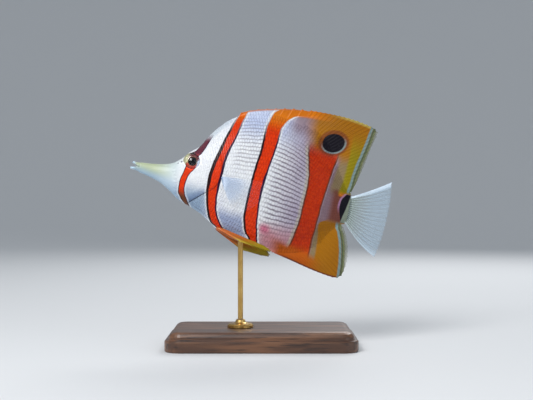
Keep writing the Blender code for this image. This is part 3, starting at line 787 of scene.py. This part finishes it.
def make_scales(name, side, seed, material):
    """One side's scales: s runs from a scale's root to its rear edge, and e across it."""
    draw = np.random.default_rng(seed)
    x, z, slope, size = scale_roots(draw)
    s = np.concatenate([np.linspace(0.0, 1.0, ALONG), [1.0]])
    e = np.linspace(-1.0, 1.0, ACROSS)
    s, e = (g.ravel() for g in np.meshgrid(s, e, indexing="ij"))
    skirt = np.repeat(np.arange(ALONG + 1) == ALONG, ACROSS)
    length = SCALE_LENGTH * SPACING * size[:, None]
    curve = 1 - 0.28 * e**2 - 0.05 * e**4
    along = (s * curve - 0.55 + 0.1 * (1 - s)) * length
    across = e * SCALE_WIDTH * size[:, None] * draw.uniform(0.96, 1.06, (len(x), 1))
    turn = np.arctan(slope)[:, None] + draw.uniform(-0.06, 0.06, (len(x), 1))
    px = x[:, None] + along * np.cos(turn) - across * np.sin(turn)
    pz = z[:, None] + along * np.sin(turn) + across * np.cos(turn)
    near = 0.15
    half = flank(px, pz)
    slant_x = np.clip((flank(x + near, z) - flank(x - near, z)) / (2 * near), -1.5, 1.5)
    slant_z = np.clip((flank(x, z + near) - flank(x, z - near)) / (2 * near), -2.5, 2.5)
    normal = np.stack([-slant_x, np.ones_like(x), -slant_z])
    normal /= np.linalg.norm(normal, axis=0)
    lift = size[:, None] * (0.09 * s - 0.022 - 0.018 * e**2 - 0.06 * skirt)
    emerge = 0.25 + 0.75 * ease((x - 26.0 + 0.25 * (z - 2.0)) / 6.0)
    lift = lift * emerge[:, None] * draw.uniform(0.8, 1.2, (len(x), 1))
    px = px + lift * normal[0][:, None]
    py = half + lift * normal[1][:, None]
    pz = pz + lift * normal[2][:, None]
    points = np.stack([px, side * py, pz], -1).reshape(-1, 3)
    each = len(s)
    one = [face[::side] for face in net_faces(ALONG + 1, ACROSS)]
    faces = [[v + i * each for v in face] for i in range(len(x)) for face in one]
    values = {
        "across": (across / size[:, None]).ravel(),
        "along": np.tile(s, len(x)),
        "tint": np.repeat(draw.uniform(0.0, 1.0, len(x)), each),
    }
    made = fish_piece(name, points, faces, material, values, closed=False)
    root = np.stack([
        0.02 + 0.96 * (x - FIRST_SCALE) / (LAST_SCALE - FIRST_SCALE),
        0.02 + 0.96 * arc_share(x, z),
    ], -1)
    patch = np.stack([s - 0.5, e / 2], -1) * PATCH
    places = (root[:, None] + patch[None]).reshape(-1, 2)
    mesh = made.data
    uv = mesh.uv_layers.new(name="OFBake")
    corners = np.empty(len(mesh.loops), dtype=np.int32)
    mesh.loops.foreach_get("vertex_index", corners)
    uv.data.foreach_set("uv", places[corners].ravel())
    return made


scale_material, scale_shader, start = new_material("fish_scales")
place, x, z, colour = fish_colours(start)
across = start.attribute("across")
along = start.attribute("along")
tint = start.attribute("tint")
# Dark lines between the rows: partly dark pigment and partly painted shadow under each row's edge
upper_lines = x.step(60, 65) * x.step(80, 76) * z.step(2, 18) * z.step(46, 36)
rear_lines = x.step(82, 91) * x.step(112, 104) * z.step(-30, -14) * z.step(40, 24)
lines = (upper_lines * 0.6 + rear_lines).least(1.0) * 0.76 + 0.14
ripple = (place.speckle(4.5) - 0.5) * 0.6
row_shadow_and_pigment = abs(across + ripple).step(0.2, 0.47) * lines * x.step(30, 58)
colour = row_shadow_and_pigment.darken(colour, paint(146, 136, 145))
scaly = x.step(25, 36)
colour = (tint * scaly * 0.35).darken(colour, paint(222, 222, 234))
# Painted shade on each scale toward its root, where the scale before overlaps it
colour = (along.step(0.95, 0.5) * scaly * 0.3).darken(colour, paint(196, 194, 206))
grain = place.speckle(0.5, 3.0)
attach(scale_shader, Base_Color=colour, Roughness=0.24 + tint * 0.14 + grain * 0.08,
       Normal=grain.dents(), Specular_IOR_Level=0.15, Coat_Weight=0.06, Coat_Roughness=0.2)
make_scales("scales_left", -1, 11, scale_material)
make_scales("scales_right", 1, 23, scale_material)

# Eyes
# Each eye is a flattened ball set in a round rim of skin: a black pupil in a pale iris, with the
# red and maroon of the eye bar running through it, under a clear cornea.

# The ball's radius and half depth, and how far from the fish's middle plane it sits
BALL_RADII = (5.9, 2.9)
BALL_DEEP = 4.5
PUPIL = 2.75
CORNEA_RADIUS = 6.1
CORNEA_RISE = 0.25
EYE_AROUND = 64


def disc(radii, depths, around):
    """Points and faces of a round form from its axis out, given its depth at each radius."""
    turns = np.linspace(0.0, 2 * math.pi, around, endpoint=False)
    points = [(0.0, depths[0], 0.0)]
    for radius, depth in zip(radii[1:], depths[1:]):
        points += [(radius * math.cos(t), depth, radius * math.sin(t)) for t in turns]
    faces = [(0, 1 + j, 1 + (j + 1) % around) for j in range(around)]
    faces += ring_faces(len(radii) - 1, around, 1)
    return np.array(points), faces


eye_material, eye_shader, start = new_material("fish_eye")
place = fish_place(start)
x = place.part(0) - EYE_CENTRE[0]
z = place.part(2) - EYE_CENTRE[1]
radius = x.apart(z)
round_pupil = start.maths("ARCTAN2", z, x) * 4.0
fibres = start.node("CombineXYZ", {}, {0: round_pupil, 1: radius * 0.5}).speckle(1 / 3, 3.0)
pale = x.step(-2.5, 3.5).blend(paint(214, 214, 170), paint(186, 200, 220))
banded = abs(x - z * 0.2).step(3.9, 2.7) * abs(z).step(0, 1.6)
in_bar = z.step(-3, 2).blend(paint(176, 36, 22), paint(104, 26, 36))
colour = (banded * 0.95).blend(pale, in_bar)
colour = (fibres.step(0.45, 0.75) * 0.22).blend(colour, paint(90, 60, 44))
colour = (radius.step(3.9, 4.8) * (0.45 + banded * 0.55)).blend(colour, paint(40, 24, 26))
gold = abs(radius - PUPIL - 0.14).step(0.2, 0.06) * (1 - banded * 0.6)
colour = (gold * 0.55).blend(colour, paint(206, 176, 104))
colour = radius.step(PUPIL + 0.08, PUPIL - 0.08).blend(colour, paint(6, 5, 12))
attach(eye_shader, Base_Color=colour, Roughness=0.12 + radius.step(2.2, 3) * 0.16,
       Specular_IOR_Level=0.3, Coat_Weight=0.35, Coat_Roughness=0.03)

cornea_material, cornea_shader, start = new_material("fish_cornea")
attach(cornea_shader, Base_Color=(1.0, 1.0, 1.0, 1.0), Roughness=0.02, IOR=1.34,
       Transmission_Weight=1.0, Alpha=0.28)

shares = np.linspace(0.0, 0.995, 40)
ball_r = shares * BALL_RADII[0]
ball_y = BALL_RADII[1] * np.sqrt(1 - shares**2)
lens = 0.5 * np.sqrt(np.clip(1 - (ball_r / PUPIL) ** 2, 0.0, 1.0))
ball_y = np.where(ball_r < PUPIL, ball_y - 0.35 + lens, ball_y - 0.3 * ease((4.4 - ball_r) / 1.0))
dome_r = np.linspace(0.0, EYE_SHOWS + 0.2, 24)
dome_y = (BALL_RADII[1] + CORNEA_RISE) * np.sqrt(1 - (dome_r / CORNEA_RADIUS) ** 2)
for side, word in ((-1, "left"), (1, "right")):
    for kind, radii, depths, finish in (
        ("eye_ball_", ball_r, ball_y, eye_material),
        ("eye_cornea_", dome_r, dome_y, cornea_material),
    ):
        points, faces = disc(radii, depths, EYE_AROUND)
        points = points * (1, side, 1)
        points += (EYE_CENTRE[0], side * BALL_DEEP, EYE_CENTRE[1])
        faces = [face[::-side] for face in faces]
        closed = kind == "eye_ball_"
        if closed:
            faces.append(range(len(points) - EYE_AROUND, len(points)))
        made = fish_piece(kind + word, points, faces, finish, closed=closed)
        if closed:
            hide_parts("eye_" + word)

# Back fin
# Nine spines, then twenty-nine branched rays, joined by a thin membrane. The membrane carries
# the flank's markings, with an eyespot, and turns clear at its rear edge.

DORSAL_MARGIN = BACK_EDGE[1:8] + (
    (144.6, 54), (147, 51.4), (144.8, 42.5), (142.5, 30.4), (139.8, 18.6), (137.4, 11),
)


def margin(points, samples=40):
    """A curve through (x, z) points, read by its share of the length, 0 to 1."""
    line = np.array(points)
    ends = np.vstack([2 * line[0] - line[1], line, 2 * line[-1] - line[-2]])
    t = np.linspace(0.0, 1.0, samples, endpoint=False)[:, None]
    fine = []
    for a, b, c, d in zip(ends, ends[1:], ends[2:], ends[3:]):
        curve = (2 * a - 5 * b + 4 * c - d) * t**2 + (3 * b - a - 3 * c + d) * t**3
        fine.append(b + ((c - a) * t + curve) / 2)
    fine = np.vstack([*fine, line[-1:]])
    lengths = np.concatenate([[0.0], np.cumsum(np.linalg.norm(np.diff(fine, axis=0), axis=1))])

    def at(shares):
        wanted = np.asarray(shares) * lengths[-1]
        return np.stack([np.interp(wanted, lengths, fine[:, k]) for k in (0, 1)], -1)

    return at


def fan(roots, tips, sideways, thick, thin, ridge, ray, gap_columns=10, rows=34, inset=2.0,
        notch=0.015, branched=True, bow=None, wave=0.0, clear_of=None):
    """Points, faces and values of a fin: a membrane on both faces of which its rays stand up.

    thick and thin are half its thickness at its root and edge, ridge and ray how high and wide
    a ray stands up, and inset how deep its root lies in the body.
    """
    roots, tips = np.asarray(roots, float), np.asarray(tips, float)
    count = len(roots)
    u = np.linspace(0.0, count - 1.0, (count - 1) * gap_columns + 1)
    pick = np.arange(count)
    root = np.stack([np.interp(u, pick, roots[:, k]) for k in range(3)], -1)
    tip = np.stack([np.interp(u, pick, tips[:, k]) for k in range(3)], -1)
    way = tip - root
    length = np.linalg.norm(way, axis=1)[:, None]
    root = root - way / length * inset
    # The edge is hollow between rays
    frac = u - np.floor(u)
    hollow = ease(frac / 0.3) * (0.6 + 0.4 * frac) * ease((1 - frac) / 0.15)
    reach = 1 - notch * hollow
    v = np.linspace(0.0, 1.0, rows)
    share = v[None, :] * reach[:, None]
    middle = root[:, None] + (tip - root)[:, None] * share[..., None]
    if bow is not None:
        sag = np.interp(u, pick, bow)[:, None] * 4 * share * (1 - share)
        middle[..., 2] += sag
    # Each ray stands up along its line, which splits in two and in two again
    spread = np.linalg.norm(np.gradient(middle, axis=0), axis=-1) * gap_columns
    off = np.minimum(frac, 1 - frac)[:, None] + 0 * share
    if branched:
        off = np.abs(off - 0.17 * ease((share - 0.38) / 0.3))
        off = np.abs(off - 0.08 * ease((share - 0.66) / 0.25))
    radius = ray * (1 - 0.45 * share)
    raised = ridge * (1 - 0.62 * share) * np.exp(-((off * spread / radius) ** 2))
    raised = raised * ease(share / 0.08)
    if clear_of is not None:
        raised = raised * clear_of(middle[..., 0], middle[..., 2])
    half = thick + (thin - thick) * share**0.6 + raised
    half = half * np.sqrt(np.clip((1.02 - v[None, :]) / 0.04, 0.0, 1.0))
    normal = np.array(sideways, float)
    normal /= np.linalg.norm(normal)
    flutter = wave * np.sin(u * 0.55)[:, None] * share**2
    middle = middle + flutter[..., None] * normal
    proud = half[..., None] * normal
    points = np.concatenate([(middle - proud).reshape(-1, 3), (middle + proud).reshape(-1, 3)])
    sheet = len(u) * rows
    faces = net_faces(len(u), rows) + net_faces(len(u), rows, sheet)
    rim = [(i * rows, (i + 1) * rows) for i in range(len(u) - 1)]
    rim += [(i * rows + rows - 1, (i - 1) * rows + rows - 1) for i in range(len(u) - 1, 0, -1)]
    last = (len(u) - 1) * rows
    rim += [(last + j, last + j + 1) for j in range(rows - 1)]
    rim += [(j + 1, j) for j in range(rows - 1)]
    faces += [(b, a, sheet + a, sheet + b) for a, b in rim]
    values = {
        "ray": np.tile(np.repeat(u, rows), 2),
        "reach": np.tile(share.ravel(), 2),
        "raised": np.tile((raised / max(ridge, 1e-6)).ravel(), 2),
    }
    return points, faces, values


def clear_of_sheath(x, z):
    """0 under the scaly skin of a fin's base, easing to 1 beyond it."""
    return ease((up_fins(x, z) - 0.75) / 0.5)


def fin_piece(name, node, slot, material, *lines, **form):
    """One fin, spread between its rays' roots and tips, in the place of its solid."""
    points, faces, values = fan(*lines, **form)
    made = fish_piece(name, points, faces, material, values)
    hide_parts(node)


def fin_wires(start, place):
    """Over a fin: how far a ray stands up, the share of its length, the grain and its dents."""
    raised, reach = start.attribute("raised"), start.attribute("reach")
    grain = place.speckle(0.6, 3.0)
    joints = start.maths("SINE", reach * 260.0)
    return raised, reach, grain, (grain + joints * raised * 0.3).dents()


def on_middle(xs, zs):
    """Places on the plane through the middle of the fish."""
    return np.stack([xs, np.zeros_like(xs), zs], -1)


SPINES = 9
SOFT_RAYS = 29
# Where the fin's first spine, its last spine and its last ray stand, in x
FIN_FRONT, SPINES_END, FIN_END = 58.8, 96.4, 133.0
# The last spine's tip, as a share of the margin
SPINY_SHARE = 0.337

yellow_material, yellow_shader, start = new_material("fin_yellow")
place, x, z, colour = fish_colours(start)
raised, reach, grain, dents = fin_wires(start, place)
web = (1 - raised.step(0, 0.5)) * reach.step(0.3, 0.9)
colour = (web * 0.35).darken(colour, paint(140, 120, 100))
clear = (z.follow(MARGIN_LINE) - x).step(-1.7, -4) * abs(z).step(9, 11)
attach(yellow_shader, Base_Color=colour, Roughness=0.38 + grain * 0.14, Normal=dents,
       Alpha=1 - clear * 0.75, Specular_IOR_Level=0.16, Coat_Weight=0.08, Coat_Roughness=0.25)

edge = margin(DORSAL_MARGIN)
root_x = np.linspace(FIN_FRONT, SPINES_END, SPINES)
fin_piece(
    "back_fin_spines", "dorsal_fin_spines", "yellow_fin", yellow_material,
    on_middle(root_x, body_top(root_x)), on_middle(*edge(np.linspace(0.0, SPINY_SHARE, SPINES)).T),
    (0, 1, 0), thick=0.17, thin=0.14, ridge=0.42, ray=0.5, gap_columns=16, notch=0.045,
    branched=False, clear_of=clear_of_sheath,
)
root_x = np.linspace(SPINES_END, FIN_END, SOFT_RAYS + 1)
fin_piece(
    "back_fin_rays", "dorsal_fin_rays", "yellow_fin", yellow_material,
    on_middle(root_x, body_top(root_x)),
    on_middle(*edge(np.linspace(SPINY_SHARE, 1.0, SOFT_RAYS + 1)).T),
    (0, 1, 0), thick=0.17, thin=0.12, ridge=0.24, ray=0.26, rows=44, wave=0.35,
    clear_of=clear_of_sheath,
)

# Belly fin
# Three short spines and twenty soft rays behind them, webbed and coloured like the back fin. Its
# roots lie in the body under the skin's scaly base.

ANAL_MARGIN = BELLY_EDGE[1:5] + (
    (138.6, -43.3), (141.6, -40.6), (142.8, -33), (142.2, -25), (140, -18), (136.8, -11.6),
)
BELLY_RAYS = 20
root_x = np.concatenate([np.linspace(94.2, 98.2, 3), np.linspace(100.4, FIN_END, BELLY_RAYS)])
tip_share = np.concatenate([(0.0, 0.07, 0.16), np.linspace(0.22, 1.0, BELLY_RAYS)])
fin_piece(
    "belly_fin", "anal_fin", "yellow_fin", yellow_material,
    on_middle(root_x, body_bottom(root_x)), on_middle(*margin(ANAL_MARGIN)(tip_share).T),
    (0, 1, 0), thick=0.17, thin=0.12, ridge=0.26, ray=0.28, gap_columns=12, rows=40, wave=0.3,
    clear_of=clear_of_sheath,
)

# Tail fin
# Seventeen branched rays in a clear, bluish white membrane. It fans out from the tail stalk, in
# which its roots are sunk.

TAIL_MARGIN = ((161.6, 22.8), (162.8, 11), (162.6, -1.8), (161.6, -14), (159.4, -25.6))
TAIL_RAYS = 17
TAIL_ROOT_X = 136.8
TAIL_BOW = (-0.7, -2.6)
TAIL_WHITE = paint(170, 194, 212)
TAIL_BASE = paint(136, 150, 136)
tail_material, tail_shader, start = new_material("fin_tail")
raised, reach, grain, dents = fin_wires(start, fish_place(start))
ray = start.attribute("ray")
edge_ray = ray.step(1.5, 0.3) + ray.step(TAIL_RAYS - 2.2, TAIL_RAYS - 1.2) * 0.4
colour = reach.step(0.1, 0.75).blend(TAIL_BASE, TAIL_WHITE)
colour = (raised.step(0.2, 0.8) * 0.4).blend(colour, paint(214, 228, 238))
colour = edge_ray.blend(colour, paint(226, 242, 255))
solid = 0.2 + raised.step(0.1, 0.7) * 0.34 + reach.step(0.4, 0.05) * 0.5 + edge_ray * 0.5
attach(tail_shader, Base_Color=colour, Roughness=0.32 + grain * 0.14, Normal=dents,
       Alpha=solid.least(1.0), Specular_IOR_Level=0.3, Coat_Weight=0.1, Coat_Roughness=0.25)

share = np.linspace(0.0, 1.0, TAIL_RAYS)
stalk_top, stalk_bottom = body_top(TAIL_ROOT_X), body_bottom(TAIL_ROOT_X)
root_z = stalk_top + (stalk_bottom - stalk_top) * (0.02 + 0.96 * share)
fin_piece(
    "tail_fan", "tail_fin", "clear_fin", tail_material,
    on_middle(np.full(TAIL_RAYS, TAIL_ROOT_X), root_z), on_middle(*margin(TAIL_MARGIN)(share).T),
    (0, 1, 0), thick=0.5, thin=0.12, ridge=0.3, ray=0.34, gap_columns=12, rows=44, inset=3.0,
    bow=TAIL_BOW[0] + (TAIL_BOW[1] - TAIL_BOW[0]) * share, wave=0.3,
)

# Pelvic fins
# A pair under the belly, folded back: one strong spine and five rays each in a thin membrane,
# rust at the root and olive yellow behind.

# (way back, share of the fin's width) of the spine's tip and of each ray's
PELVIC_TIPS = ((16.5, 1), (29.5, 0.78), (34.4, 0.62), (35.2, 0.42), (33.6, 0.22), (30.6, 0.04))
pelvic_material, pelvic_shader, start = new_material("fin_pelvic")
raised, reach, ray = (start.attribute(name) for name in ("raised", "reach", "ray"))
colour = reach.step(0.4, 0.9).blend(paint(184, 92, 30), paint(156, 138, 8))
colour = ((1 - raised.step(0, 0.5)) * 0.4).blend(colour, paint(112, 88, 16))
spine = reach.step(0.55, 0.85).blend(paint(222, 118, 60), paint(196, 172, 60))
colour = (ray.step(0.7, 0.3) * 0.85).blend(colour, spine)
grain = fish_place(start).speckle(0.6, 3.0)
attach(pelvic_shader, Base_Color=colour, Roughness=0.4 + grain * 0.14, Normal=grain.dents(),
       Alpha=1 - reach.step(0.93, 1) * 0.5, Specular_IOR_Level=0.2, Coat_Weight=0.08)
PELVIC_ROOT = (61.3, 3.75, -27.7)
for side, word, splay, width in (
    (-1, "left", math.radians(62.0), 8.4), (1, "right", math.radians(28.0), 7.4),
):
    root = Vector((PELVIC_ROOT[0], side * PELVIC_ROOT[1], PELVIC_ROOT[2]))
    back = Vector((1.0, side * 0.09, -0.19)).normalized()
    out_way = Vector((0.0, side * math.sin(splay), -math.cos(splay)))
    starts = [root + out_way * 1.9 * (1 - k / 5) + back * 0.4 * k for k in range(6)]
    ends = [root + back * a + out_way * width * w for a, w in PELVIC_TIPS]
    fin_piece(
        "pelvic_" + word, "pelvic_fin_" + word, "yellow_fin", pelvic_material,
        starts, ends, back.cross(out_way), thick=0.3, thin=0.14, ridge=0.32, ray=0.34,
        gap_columns=14, rows=40, notch=0.012, wave=0.25,
    )

# Pectoral fins
# A clear fan of fourteen rays behind each gill cover. It grows from the fleshy lobe in the skin
# and is held a little off the flank.

PECTORAL_RAYS = 14
pectoral_material, pectoral_shader, start = new_material("fin_pectoral")
raised, reach = start.attribute("raised"), start.attribute("reach")
colour = raised.step(0.1, 0.8).blend(paint(150, 174, 208), paint(214, 226, 242))
grain = fish_place(start).speckle(0.6, 3.0)
fade = reach.step(0.75, 0.3)
veil = fade * 0.26 + raised.step(0.15, 0.8) * (0.03 + fade * 0.22)
solid = 0.01 + veil + reach.step(0.25, 0.05) * 0.5
attach(pectoral_shader, Base_Color=colour, Roughness=0.3 + grain * 0.14,
       Normal=grain.dents(), Alpha=solid.least(1.0))
for side, word, flare in ((-1, "left", math.radians(15)), (1, "right", math.radians(20))):
    # From the top ray to the lowest: its root, its turn from level and its length
    share = np.linspace(0.0, 1.0, PECTORAL_RAYS)
    root_x, root_z = 58.4 + 1.6 * share, 2.4 - 6.8 * share
    turn = np.radians(3.0 - 62.0 * share)
    long = 29.5 - 13.0 * share**1.6 - 5.0 * (1 - share) ** 6
    root_y = side * (flank(root_x, root_z, plain=True) + 1.05)
    starts = np.stack([root_x, root_y, root_z], -1)
    ways = np.stack([
        np.cos(flare) * np.cos(turn), np.full(PECTORAL_RAYS, side * np.sin(flare)),
        np.cos(flare) * np.sin(turn),
    ], -1)
    fin_piece(
        "pectoral_" + word, "pectoral_fin_" + word, "clear_fin", pectoral_material,
        starts, starts + ways * long[:, None], (math.sin(flare), -side * math.cos(flare), -0.1),
        thick=0.3, thin=0.1, ridge=0.2, ray=0.24, gap_columns=12, rows=40, inset=1.6, wave=0.2,
    )

# Stand
# A moulded walnut base carries a turned brass foot, in which one brass rod stands. The rod ends
# in a socket in the fish's belly.

wood_material, wood_shader, start = new_material("stand_wood")
own = start.node("TexCoord", {}, {}, output=3)
streaks = own.stretched((60.0, 900.0, 900.0)).speckle(1.0, 5.0)
bands = own.stretched((6.0, 60.0, 60.0)).speckle(1.0, 4.0)
figure = start.maths("SINE", bands * 38.0) * 0.5 + 0.5
colour = figure.blend(paint(74, 46, 30), paint(112, 74, 48))
colour = streaks.step(0.5, 0.72).blend(colour, paint(42, 24, 15))
attach(wood_shader, Base_Color=colour, Roughness=0.34 + streaks * 0.2,
       Normal=streaks.dents(0.25, 0.0003), Coat_Weight=0.3, Coat_Roughness=0.25)

brass_material, brass_shader, start = new_material("stand_brass")
own = start.node("TexCoord", {}, {}, output=3)
tool_marks = own.stretched((20.0, 20.0, 4000.0)).speckle(1.0, 3.0)
worn = own.speckle(1 / 160, 4.0)
colour = worn.step(0.35, 0.7).blend(paint(196, 156, 88), paint(214, 178, 108))
attach(brass_shader, Base_Color=colour, Roughness=0.2 + tool_marks * 0.14 + worn * 0.08,
       Normal=tool_marks.dents(0.15, 0.0001), Metallic=1.0)

for node, finish in (
    ("stand_base", wood_material), ("stand_foot", brass_material), ("stand_rod", brass_material),
):
    for slot in bpy.data.objects[node].material_slots:
        slot.material = finish

# Floor, light and camera
# A plain pale floor, bent up far away on every side, under soft lamps. The camera looks level
# at the fish's left side.

FLOOR_FLAT = 1.4
FLOOR_BEND = 1.6
FLOOR_AROUND = 72
bend = np.linspace(0.0, math.pi / 2, 17)
radii = np.concatenate([FLOOR_FLAT * np.arange(3) / 3, FLOOR_FLAT + FLOOR_BEND * np.sin(bend)])
heights = np.concatenate([np.zeros(3), FLOOR_BEND * (1 - np.cos(bend))])
points, faces = disc(radii, heights, FLOOR_AROUND)
floor_mesh = bpy.data.meshes.new("floor")
floor_mesh.from_pydata(points[:, (0, 2, 1)].tolist(), [], faces)
floor_mesh.shade_smooth()
floor_material, floor_shader, start = new_material("floor")
attach(floor_shader, Base_Color=(0.72, 0.73, 0.74, 1.0), Roughness=0.85)
floor_mesh.materials.append(floor_material)
floor = bpy.data.objects.new("floor", floor_mesh)
bpy.context.scene.collection.objects.link(floor)

scene = bpy.context.scene
scene.view_settings.view_transform = "Standard"
world = bpy.data.worlds.new("room")
world.use_nodes = True
background = world.node_tree.nodes["Background"]
background.inputs["Color"].default_value = (0.8, 0.87, 0.95, 1.0)
background.inputs["Strength"].default_value = 0.45
scene.world = world


def lamp(name, place, aim, size, power, colour=(1.0, 1.0, 1.0)):
    light = bpy.data.lights.new(name, "AREA")
    light.size = size
    light.energy = power
    light.color = colour
    made = bpy.data.objects.new(name, light)
    made.location = place
    made.rotation_euler = (Vector(aim) - Vector(place)).to_track_quat("-Z", "Y").to_euler()
    scene.collection.objects.link(made)


fish_middle = (0.0, 0.0, 0.09)
lamp("key", (-0.4, -0.7, 0.75), fish_middle, 0.45, 8.5)
lamp("fill", (0.8, -0.6, 0.35), fish_middle, 0.7, 1.4, (0.92, 0.96, 1.0))
lamp("rim", (0.3, 0.8, 0.7), fish_middle, 0.5, 4.0)

CAMERA_DISTANCE = 0.65
CAMERA_PLACE = Vector((0.00297, -CAMERA_DISTANCE, 0.0904))
PIXEL_SIZE = 0.00062
FRAME_WIDTH = 533
camera_data = bpy.data.cameras.new("camera")
camera_data.sensor_width = 36.0
camera_data.lens = camera_data.sensor_width * CAMERA_DISTANCE / (PIXEL_SIZE * FRAME_WIDTH)
camera_data.clip_start = 0.01
camera = bpy.data.objects.new("camera", camera_data)
camera.location = CAMERA_PLACE
camera.rotation_euler = (math.radians(90.0), 0.0, 0.0)
scene.collection.objects.link(camera)
scene.camera = camera

bpy.context.view_layer.update()
